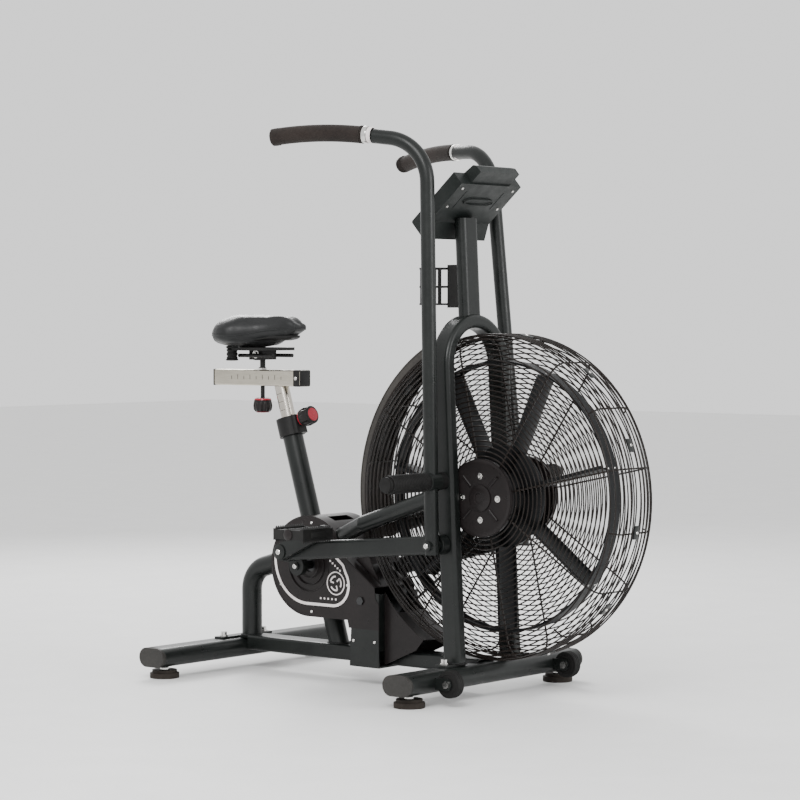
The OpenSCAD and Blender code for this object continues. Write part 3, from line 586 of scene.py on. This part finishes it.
def lever_pin(side):
    """Centre of a lever's lower pin: the middle of the lever's lowest end."""
    points = cad_points(f"{side}_lever")
    low = points[points[:, 2] < points[:, 2].min() + 0.045]
    pivot = Vector(JOINTS[f"{side}_lever_swing"]["pos_m"])
    foot = Vector(((low[:, 0].min() + low[:, 0].max()) / 2, pivot.y, points[:, 2].min()))
    return pivot + (foot - pivot).normalized() * 0.140


def add_grip(side):
    """End plug, chrome and white collar rings, and moulded rings on a handgrip."""
    body = f"{side}_lever"
    grip = f"{side}_grip"
    end, out = end_ring(grip, (-1, 0, -0.1))
    root, inward = end_ring(grip, (1, 0, 0.1))
    plug = Shape()
    plug.turned([(0.0192, -0.001), (0.0192, 0.002), (0.0165, 0.0045), (0.006, 0.0055), (0, 0.0055)], end, out)
    plug.done(f"{side}_grip_plug", PLASTIC, body, "matte_plastic")
    ring = Shape()
    ring.turned([(0.0163, 0.0005), (0.0188, 0.0005), (0.0192, 0.002), (0.0192, 0.0095), (0.0188, 0.011),
                 (0.0163, 0.011)], root, inward, hollow=True)
    ring.done(f"{side}_grip_ring", CHROME, body, "chrome_steel")
    collar = Shape()
    collar.turned([(0.0163, 0.012), (0.0178, 0.012), (0.0178, 0.020), (0.0163, 0.021)], root, inward, hollow=True)
    collar.done(f"{side}_grip_collar", PRINT, body, "white_print")
    moulded = Shape()
    for spot, axis, steps in ((end, -out, (0.004, 0.008, 0.012)), (root, -inward, (0.003, 0.007))):
        for h in steps:
            moulded.tube(circle(spot + axis * h, 0.0190, axis), 0.0009, closed=True, sides=6)
    moulded.done(f"{side}_grip_rings", FOAM, body, "foam_grip")


def add_peg(side):
    """Ribbed sleeve and end disc on a foot peg."""
    sign = SIDES[side]
    low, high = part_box(f"{side}_foot_peg")
    pivot = Vector(JOINTS[f"{side}_lever_swing"]["pos_m"])
    end = min(low.y, high.y) if sign < 0 else max(low.y, high.y)
    ribs = Shape()
    for k in range(22):
        y = sign * (0.186 + 0.0052 * k)
        ribs.tube(circle(Vector((pivot.x, y, pivot.z)), 0.0196, Y, steps=36), 0.0011, closed=True, sides=6)
    ribs.turned([(0.0155, -0.0005), (0.0155, 0.0012), (0.012, 0.002), (0, 0.002)],
                Vector((pivot.x, end, pivot.z)), sign * Y)
    ribs.done(f"{side}_peg_ribs", RUBBER, "frame", "black_rubber")


# ---- saddle ----------------------------------------------------------------------------------

SIM_FRAMES = 20
SIM_VOXEL = 0.0048
SIM_CAP = 0.006


def saddle_half_width(t):
    """Half width along the saddle, as a share: t is 0 at the tail and 1 at the nose."""
    keys = [(0.0, 0.60), (0.08, 0.86), (0.2, 0.99), (0.32, 1.0), (0.5, 0.72), (0.65, 0.46), (0.8, 0.33),
            (0.92, 0.27), (1.0, 0.16)]
    return float(np.interp(t, [k[0] for k in keys], [k[1] for k in keys]))


def saddle_top(t):
    """Height of the saddle's ridge, as a share of its thickness."""
    keys = [(0.0, 0.66), (0.06, 0.90), (0.2, 1.0), (0.4, 0.97), (0.58, 0.93), (0.75, 0.97), (0.9, 0.97), (1.0, 0.74)]
    return float(np.interp(t, [k[0] for k in keys], [k[1] for k in keys]))


def smooth_share(values, i, spread=2):
    near = values[max(0, i - spread):i + spread + 1]
    return sum(near) / len(near)


def add_saddle():
    low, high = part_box("saddle")
    low, high = low.copy(), high.copy()
    low += Vector((0.004, 0.006, 0.004))
    high -= Vector((0.004, 0.006, 0.003))
    mid_y = (low.y + high.y) / 2
    tall = high.z - low.z
    rows, around = 44, 40
    widths = [saddle_half_width(i / (rows - 1)) * (high.y - low.y) / 2 for i in range(rows)]
    tops = [saddle_top(i / (rows - 1)) * tall for i in range(rows)]
    shell = Shape()
    loops = []
    for i in range(rows):
        t = i / (rows - 1)
        x = low.x + (high.x - low.x) * t
        half = smooth_share(widths, i)
        top = smooth_share(tops, i)
        floor = 0.012 * max(0, 1 - t / 0.10) + 0.036 * max(0, (t - 0.25) / 0.75) ** 1.3
        loop = []
        for j in range(around):
            a = 2 * math.pi * j / around
            c, s = math.cos(a), math.sin(a)
            across = math.copysign(abs(c) ** 0.75, c)
            up = math.copysign(abs(s) ** (0.85 if s > 0 else 0.5), s)
            middle = floor + (top - floor) * 0.42
            z = middle + up * (top - middle if s > 0 else middle - floor)
            dip = 0.006 * math.exp(-(across * half / 0.011) ** 2) * min(1, t / 0.2) * (s > 0.5)
            loop.append(Vector((x, mid_y + across * half, low.z + z - dip)))
        loops.append(loop)
    made = shell.strip(loops)
    shell.bm.faces.new(list(reversed(made[0])))
    shell.bm.faces.new(made[-1])
    obj = shell.done("saddle_cushion", LEATHER, "saddle_carriage", "saddle_leather", angle=180)
    inflate(obj)
    smooth = obj.modifiers.new("smooth", "SUBSURF")
    smooth.levels = 1
    smooth.render_levels = 1
    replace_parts(obj, "saddle")
    add_saddle_trim(obj, low, high, mid_y)


def inflate(obj):
    """Remeshes a cushion evenly, inflates it as cloth for a few frames and keeps capped moves."""
    scene = bpy.context.scene
    bpy.ops.object.select_all(action="DESELECT")
    obj.select_set(True)
    bpy.context.view_layer.objects.active = obj
    remesh = obj.modifiers.new("even", "REMESH")
    remesh.mode = "VOXEL"
    remesh.voxel_size = SIM_VOXEL
    bpy.ops.object.modifier_apply(modifier=remesh.name)
    count = len(obj.data.vertices)
    start = np.zeros(count * 3, np.float32)
    obj.data.vertices.foreach_get("co", start)
    cloth = obj.modifiers.new("fill", "CLOTH")
    cloth.settings.use_pressure = True
    cloth.settings.uniform_pressure_force = 4
    cloth.settings.effector_weights.gravity = 0
    cloth.settings.quality = 5
    for f in range(1, SIM_FRAMES + 1):
        scene.frame_set(f)
    shaped = obj.evaluated_get(bpy.context.evaluated_depsgraph_get())
    moved = np.zeros(count * 3, np.float32)
    shaped.data.vertices.foreach_get("co", moved)
    step = (moved - start).reshape(-1, 3)
    size = np.linalg.norm(step, axis=1, keepdims=True)
    step *= np.minimum(1, SIM_CAP / np.maximum(size, 1e-9))
    obj.modifiers.remove(cloth)
    obj.data.vertices.foreach_set("co", (start.reshape(-1, 3) + step).ravel())
    obj.data.shade_smooth()
    obj.data.update()
    scene.frame_set(1)


def surface_loop(obj, centre, height, steps=96):
    """Points on a piece's outer surface at a height that depends on the direction from its centre."""
    bpy.context.view_layer.update()
    shaped = obj.evaluated_get(bpy.context.evaluated_depsgraph_get())
    back = obj.matrix_world.inverted()
    out = []
    for i in range(steps):
        t = 2 * math.pi * i / steps
        way = Vector((math.cos(t), math.sin(t), 0))
        start = centre + way * 0.4
        start.z = height(way)
        hit, place, _, _ = shaped.ray_cast(back @ start, back.to_3x3() @ (-way))
        if hit:
            out.append(obj.matrix_world @ place)
    return out


def add_saddle_trim(obj, low, high, mid_y):
    """Piping round the side, a stitched seam above it, the base pan and the rubber springs."""
    centre = Vector(((low.x + high.x) / 2 - 0.020, mid_y, 0))
    tall = high.z - low.z
    piping = Shape()
    lower = surface_loop(obj, centre, lambda way: low.z + tall * (0.34 + 0.22 * max(0, way.x)))
    piping.tube(lower, 0.0017, closed=True, sides=8)
    piping.done("saddle_piping", LEATHER, "saddle_carriage", "saddle_leather")
    seam = Shape()
    upper = surface_loop(obj, centre, lambda way: low.z + tall * (0.40 + 0.22 * max(0, way.x)), steps=192)
    for a, b in zip(upper[::2], upper[1::2]):
        seam.tube([a, (a + b) / 2, b], 0.0006, sides=5)
    seam.done("saddle_stitching", STITCH, "saddle_carriage", "saddle_leather")
    pan = Shape()
    under = surface_loop(obj, centre, lambda way: low.z + tall * (0.16 + 0.36 * max(0, way.x)))
    loops = [[Vector((p.x, p.y, low.z + 0.5 * (p.z - low.z))) + (Vector((p.x, p.y, 0)) - centre) * k + up * Z
              for p in under]
             for k, up in ((-0.10, 0.006), (-0.10, 0.001), (-0.16, -0.003), (-0.3, -0.006), (-0.6, -0.0065))]
    rows = pan.strip(loops)
    pan.bm.faces.new(rows[-1])
    pan.done("saddle_pan", PLASTIC, "saddle_carriage", "matte_plastic")

    springs, caps = Shape(), Shape()
    for s in (-1, 1):
        foot = Vector((low.x + 0.045, mid_y + s * 0.048, low.z - 0.034))
        springs.turned([(0.010, 0), (0.014, 0.003), (0.0115, 0.008), (0.014, 0.013), (0.0115, 0.018),
                        (0.014, 0.023), (0.010, 0.027)], foot, Z, segments=36)
        caps.turned([(0.012, 0.026), (0.015, 0.028), (0.015, 0.031), (0.010, 0.033)], foot, Z, segments=36)
        caps.turned([(0.010, -0.003), (0.015, -0.002), (0.015, 0.001), (0.012, 0.002)], foot, Z, segments=36)
    springs.done("saddle_springs", RUBBER, "saddle_carriage", "black_rubber")
    caps.done("saddle_spring_cups", PLASTIC, "saddle_carriage", "matte_plastic")
    clamp = Shape()
    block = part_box("saddle_carriage")
    post_x = JOINTS["clamp_knob_turn"]["pos_m"][0]
    for s in (-1, 1):
        bolt(clamp, Vector((post_x, s * 0.024, 0.751)), s * Y, 0.0065, 0.006)
    clamp.turned([(0.011, 0), (0.011, 0.004), (0.009, 0.006), (0.0066, 0.006)],
                 Vector((post_x, 0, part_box("seat_rail")[1].z)), Z, segments=6)
    clamp.done("saddle_clamp_bolts", CHROME, "saddle_carriage", "chrome_steel")


# ---- seat post, knobs ------------------------------------------------------------------------


def add_knob(node, body, centre, axis, radius, height):
    """Fluted grip, red ring and red end face of a knob."""
    grip = Shape()
    grip.turned([(0.6 * radius, -0.002), (radius * 0.94, -0.001), (radius + 0.0012, height * 0.2),
                 (radius + 0.0026, height * 0.5), (radius + 0.0012, height * 0.85), (radius * 0.86, height + 0.0012),
                 (radius * 0.70, height + 0.0016), (0, height + 0.0016)], centre, axis, segments=120, flutes=12,
                flute_depth=0.0024)
    obj = grip.done(f"{node}_grip", COVER, body, "gloss_cover")
    red = Shape()
    red.turned([(radius * 0.76, height + 0.0012), (radius * 0.72, height + 0.0030), (0, height + 0.0040)],
               centre, axis)
    red.turned([(radius * 0.80, -0.005), (radius * 0.92, -0.0045), (radius * 0.98, -0.0008), (radius * 0.85, 0.001)],
               centre, axis)
    red.done(f"{node}_red_face", RED, body, "red_accent")
    return obj


def add_rail_caps():
    """Moulded caps over both ends of the seat rail."""
    low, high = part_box("seat_rail")
    mid = (low + high) / 2
    side = high.z - low.z + 0.0014
    caps = Shape()
    caps.block(Vector((high.x - 0.0105, 0, mid.z)), (0.0225, side, side), bevel=0.003)
    caps.block(Vector((low.x + 0.0016, 0, mid.z)), (0.0046, side, side), bevel=0.0015)
    caps.done("rail_end_caps", PLASTIC, "seat_post", "matte_plastic")


def add_apron(side):
    """Sheet that closes the cover's lower corner over the drive bracket, with a flange to the guard."""
    sign = SIDES[side]
    low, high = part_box("drive_bracket")
    y = sign * (high.y + 0.0001)
    outline = [(low.x - 0.024, 0.1455), (low.x - 0.006, 0.1455), (low.x - 0.002, 0.128), (high.x + 0.001, 0.128),
               (high.x + 0.001, 0.186), (high.x - 0.010, 0.200), (high.x - 0.012, 0.2240), (high.x - 0.094, 0.2810),
               (low.x + 0.001, 0.262), (low.x + 0.005, 0.235), (low.x + 0.003, 0.205), (low.x - 0.014, 0.180)]
    sheet = Shape()
    loops = [[Vector((x, y + sign * t, z)) for x, z in outline] for t in (0, 0.0009)]
    rows = sheet.strip(loops)
    for row in rows:
        sheet.bm.faces.new(row)
    sheet.done(f"{side}_cover_apron", COVER, "frame", "gloss_cover")
    flange = Shape()
    flange.block(Vector((high.x - 0.0005, sign * 0.0585, 0.145)), (0.0012, 0.0200, 0.130), bevel=0.0003)
    flange.done(f"{side}_bracket_flange", POWDER, "frame", "powder_steel")
    bolts = Shape()
    bolt(bolts, Vector((high.x - 0.012, sign * high.y, 0.100)), sign * Y, 0.0035, 0.0025, washer=False)
    bolt(bolts, Vector((low.x + 0.012, sign * high.y, 0.100)), sign * Y, 0.0035, 0.0025, washer=False)
    bolts.done(f"{side}_bracket_bolts", CHROME, "frame", "chrome_steel")


def add_knobs():
    out = Vector(JOINTS["height_knob_pull"]["axis"])
    low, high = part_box("height_knob")
    points = cad_points("height_knob")
    t = points @ np.array(out)
    face = points[t > t.max() - 1e-4]
    end = Vector((face.max(0) + face.min(0)) / 2)
    add_knob("height_knob", "height_knob", end - out * 0.028, out, 0.021, 0.028)
    low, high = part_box("clamp_knob")
    centre = Vector(((low.x + high.x) / 2, 0, low.z + 0.006 + 0.022))
    add_knob("clamp_knob", "clamp_knob", centre, -Z, 0.021, 0.026)


def add_post_marks():
    """Height marks printed down the back of the seat post and along the rail."""
    up = Vector(JOINTS["seat_height"]["axis"])
    out = Vector(JOINTS["height_knob_pull"]["axis"])
    points = cad_points("seat_post")
    foot = Vector((-0.229, 0, 0.080))
    rail_low, rail_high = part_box("seat_rail")
    marks = Shape()
    collar_top = 0.545
    for k in range(3):
        p = foot + up * (collar_top + 0.018 + 0.020 * k)
        path = [p + 0.01702 * (math.cos(t) * -Y + math.sin(t) * out) for t in
                (math.radians(a) for a in range(-28, 29, 7))]
        marks.tube(path, 0.0006, sides=4)
    marks.done("post_marks", RUBBER, "seat_post", "matte_plastic")
    rail = Shape()
    for s in (-1, 1):
        y = s * (rail_high.y + 0.0001)
        for k in range(9):
            x = rail_low.x + 0.060 + 0.020 * k
            z = (rail_low.z + rail_high.z) / 2
            rail.ribbon([Vector((x, y, z - 0.004)), Vector((x, y, z + 0.004 + 0.003 * (k % 2)))], 0.001, s * Y, 0.0003)
    rail.done("rail_marks", RUBBER, "seat_post", "matte_plastic")
    screws = Shape()
    for s in (-1, 1):
        bolt(screws, Vector((rail_high.x - 0.012, s * rail_high.y, (rail_low.z + rail_high.z) / 2)), s * Y,
             0.0045, 0.003, washer=False)
    screws.done("rail_cap_screws", CHROME, "seat_post", "chrome_steel")


# ---- console ---------------------------------------------------------------------------------


def add_console():
    normal = -Vector(JOINTS["mode_button_press"]["axis"])
    up = Y.cross(normal)
    low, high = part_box("console_screen")
    centre = (low + high) / 2 + normal * 0.0014
    place = Matrix((
        (*[up[0], Y[0], normal[0]], centre[0]), (*[up[1], Y[1], normal[1]], centre[1]),
        (*[up[2], Y[2], normal[2]], centre[2]), (0, 0, 0, 1)))

    def at(u, v, w=0.0):
        return place @ Vector((u, v, w))

    segments = Shape()
    turn = place.to_3x3().to_4x4()
    for row, digits in ((0.018, 4), (-0.016, 6)):
        for k in range(digits):
            v = (k - (digits - 1) / 2) * (0.118 / digits)
            tall = 0.013 if digits == 4 else 0.009
            wide = tall * 0.55
            for du in (tall, 0, -tall):
                segments.block(at(row + du, v), (0.0014, wide, 0.0004), turn, bevel=0.0001)
            for du, dv in ((tall, wide), (tall, -wide), (-tall, wide), (-tall, -wide)):
                segments.block(at(row + du / 2, v + dv / 2), (tall - 0.002, 0.0014, 0.0004), turn, bevel=0.0001)
    segments.done("screen_segments", SEGMENT, "frame", "screen_lens")
    bezel = Shape()
    corners = [(s * 0.0418, t * 0.083) for s, t in ((1, 1), (1, -1), (-1, -1), (-1, 1))]
    bezel.tube([at(u, v, 0.0022) for a, b in zip(corners, corners[1:] + corners[:1])
                for u, v in ((a[0] + (b[0] - a[0]) * k / 6, a[1] + (b[1] - a[1]) * k / 6) for k in range(6))],
               0.0016, closed=True)
    bezel.done("screen_bezel", PLASTIC, "frame", "matte_plastic")
    back_w = -0.0355
    back = Shape()
    slot_path = [at(0.010 + 0.009 * math.sin(t), 0.030 * math.cos(t) + math.copysign(0.020, math.cos(t)), back_w)
                 for t in (2 * math.pi * i / 40 for i in range(40))]
    back.tube(slot_path, 0.0018, closed=True)
    for v in (-0.066, 0.066):
        back.ribbon([at(-0.012, v, back_w + 0.003), at(0.040, v, back_w + 0.003)], 0.004, -normal, 0.001)
    back.done("console_back_trim", HOUSING, "frame", "matte_plastic")
    screws = Shape()
    for u, v in ((0.048, 0.090), (0.048, -0.090), (-0.010, 0.090), (-0.010, -0.090)):
        bolt(screws, at(u, v, back_w + 0.0032), -normal, 0.0035, 0.002, washer=False)
    screws.done("console_screws", CHROME, "frame", "chrome_steel")


# ---- base, bolts and welds -------------------------------------------------------------------


def rounded_loop(centre, wide, deep, radius, steps=6):
    """A rounded rectangle in the X-Y plane."""
    out = []
    for k, (sx, sy) in enumerate(((1, 1), (-1, 1), (-1, -1), (1, -1))):
        for i in range(steps + 1):
            t = math.radians(90 * k + 90 * i / steps)
            out.append(centre + Vector((sx * (wide / 2 - radius) + radius * math.cos(t),
                                        sy * (deep / 2 - radius) + radius * math.sin(t), 0)))
    return dense(out, 0.004)


def dense(points, step):
    """Adds points along a closed outline so that none are more than a step apart."""
    out = []
    for a, b in zip(points, points[1:] + points[:1]):
        count = max(1, math.ceil((b - a).length / step))
        out += [a + (b - a) * i / count for i in range(count)]
    return out


def add_welds():
    up = Vector(JOINTS["seat_height"]["axis"])
    foot = Vector((-0.229, 0, 0.0805))
    beads = Shape()
    beads.tube([foot + Vector((0.0255 / up.z * math.cos(t), 0.0247 * math.sin(t), 0))
                for t in (2 * math.pi * i / 70 for i in range(70))], 0.0026, closed=True, wobble=0.25)
    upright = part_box("rear_upright")
    beads.tube(circle(Vector((-0.506, 0, upright[0].z + 0.0055)), 0.0248, Z, steps=70), 0.0026, closed=True,
               wobble=0.25)
    for s in (-1, 1):
        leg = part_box("right_hoop_leg" if s < 0 else "left_hoop_leg")
        plate_top = leg[0].z + 0.0056
        beads.tube(rounded_loop(Vector((0.1955, s * 0.100, plate_top)), 0.049, 0.0305, 0.010), 0.0024, closed=True,
                   wobble=0.25)
        beads.tube(circle(Vector((CRANK.x, s * 0.0285, CRANK.z)), 0.0236, Y, steps=60), 0.0016, closed=True,
                   wobble=0.25)
    beads.done("weld_beads", WELD, "frame", "powder_steel")


def add_base_trim():
    for node in ("front_right_foot", "front_left_foot", "rear_right_foot", "rear_left_foot"):
        low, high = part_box(node)
        centre = Vector(((low.x + high.x) / 2, (low.y + high.y) / 2, 0))
        pad = Shape()
        pad.turned([(0.0335, 0.0008), (0.0343, 0.003), (0.0343, 0.0105), (0.0325, 0.0125), (0.0295, 0.0128)],
                   centre, Z, segments=72, flutes=36, flute_depth=0.0007)
        pad.done(f"{node}_pad", FOOT, node, "foot_rubber")
        nut = Shape()
        nut.turned([(0.011, 0.0192), (0.011, 0.024), (0.009, 0.0262), (0.0051, 0.0262)], centre, Z, segments=6)
        nut.done(f"{node}_nut", CHROME, node, "chrome_steel")
    for side, sign in SIDES.items():
        node = f"{side}_transport_wheel"
        low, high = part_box(node)
        mid = (low + high) / 2
        tread = Shape()
        for y in (-0.006, 0, 0.006):
            tread.tube(circle(mid + y * Y, (high.z - low.z) / 2 - 0.0003, Y, steps=72), 0.0013, closed=True)
        for s in (-1, 1):
            tread.tube(circle(mid + s * 0.0102 * Y, 0.022, Y, steps=60), 0.0010, closed=True)
        tread.done(f"{side}_wheel_tread", RUBBER, node, "black_rubber")
        hub = Shape()
        for s in (-1, 1):
            hub.turned([(0.0125, -0.0005), (0.012, 0.0008), (0.0085, 0.0010)], mid + s * 0.0103 * Y, s * Y)
        hub.done(f"{side}_wheel_hub", PLASTIC, node, "matte_plastic")
    sockets = Shape()
    for x in (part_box("front_stabilizer")[0].x + 0.039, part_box("rear_stabilizer")[0].x + 0.039):
        for sign in (-1, 1):
            path = [Vector((x, sign * 0.3045, 0.050)) + Vector((
                0.0395 * math.copysign(abs(math.cos(t)) ** 0.7, math.cos(t)), 0, 0.0228 * math.sin(t)))
                for t in (2 * math.pi * i / 60 for i in range(60))]
            sockets.tube(path, 0.0008, closed=True, sides=6)
    sockets.done("stabilizer_cap_lips", CAP, "frame", "matte_plastic")


def add_fender_lips():
    """Rolled edges along the rear guard."""
    low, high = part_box("rear_fender")
    radius = FAN.x - low.x
    lips = Shape()
    for y in (low.y, high.y):
        lips.tube(arc(Vector((FAN.x, y, FAN.z)), radius - 0.0012, 113, 197, 60), 0.0016, sides=8)
    lips.done("fender_lips", FENDER, "frame", "fender_metal")


def add_stage():
    bpy.ops.mesh.primitive_plane_add(size=30)
    floor = bpy.context.object
    floor.name = "floor"
    floor.data.materials.append(finish("floor", (0.82, 0.82, 0.815), (0.86, 0.86, 0.855), (0.55, 0.65), relief=0.02))
    world = bpy.data.worlds.new("studio")
    bpy.context.scene.world = world
    world.use_nodes = True
    world.node_tree.nodes["Background"].inputs["Color"].default_value = (1, 1, 1, 1)
    world.node_tree.nodes["Background"].inputs["Strength"].default_value = 1.25
    for name, place, aim, size, power in (
            ("key", (1.6, -3.2, 3.2), (0, 0, 0.6), 1.8, 130), ("rim", (-2.6, 1.8, 2.4), (0, 0, 0.7), 1.4, 90),
            ("fill", (3.4, 0.6, 1.6), (0.2, 0, 0.6), 1.6, 50)):
        data = bpy.data.lights.new(name, "AREA")
        data.size = size
        data.energy = power
        lamp = bpy.data.objects.new(name, data)
        lamp.location = place
        lamp.rotation_euler = (Vector(aim) - Vector(place)).to_track_quat("-Z", "Y").to_euler()
        bpy.context.collection.objects.link(lamp)


add_camera()
paint_cad()
for side_name in SIDES:
    add_cage(side_name)
    add_cover_print(side_name)
    add_pedal(side_name)
    add_bearing_caps(side_name)
    add_grip(side_name)
    add_peg(side_name)
    add_apron(side_name)
add_cage_clamps()
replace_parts(add_fan_wheel(), "fan_wheel")
add_saddle()
add_rail_caps()
add_knobs()
add_post_marks()
add_console()
add_welds()
add_base_trim()
add_fender_lips()
add_stage()
